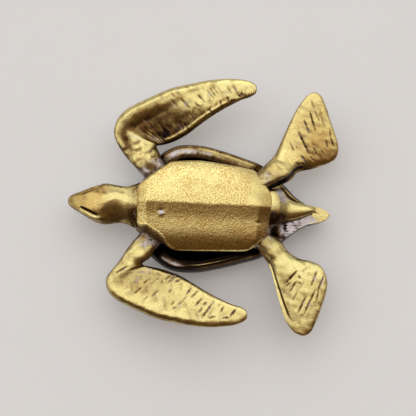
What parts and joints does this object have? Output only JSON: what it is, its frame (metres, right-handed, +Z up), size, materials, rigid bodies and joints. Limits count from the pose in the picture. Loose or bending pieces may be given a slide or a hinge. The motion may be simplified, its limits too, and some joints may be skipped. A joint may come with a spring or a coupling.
{
  "type": "turtle figurine",
  "caption": "Small brass sea turtle ornament with a faceted upper shell over a boat-shaped lower shell, swept front flippers, fan-shaped rear flippers, a wedge head and a short tail.",
  "frame": {"origin": "on the flat of the lower shell that the figurine stands on, under the middle of its length from nose to tail point", "axes": "+X towards the head, +Y towards the turtle's left side as seen from above, +Z up out of the faceted shell"},
  "size_m": [0.0491, 0.0453, 0.0113],
  "materials": {
    "polished_brass": "worn polish over dark patina",
    "dark_brass": "dark brown patina, polished on the rim"
  },
  "bodies": {
    "root": {"upper_shell": "polished_brass", "head": "polished_brass", "front_flipper_left": "polished_brass", "front_flipper_right": "polished_brass", "rear_flipper_left": "polished_brass", "rear_flipper_right": "polished_brass", "tail": "polished_brass", "lower_shell": "dark_brass", "body_core": "dark_brass"}
  },
  "joints": []
}
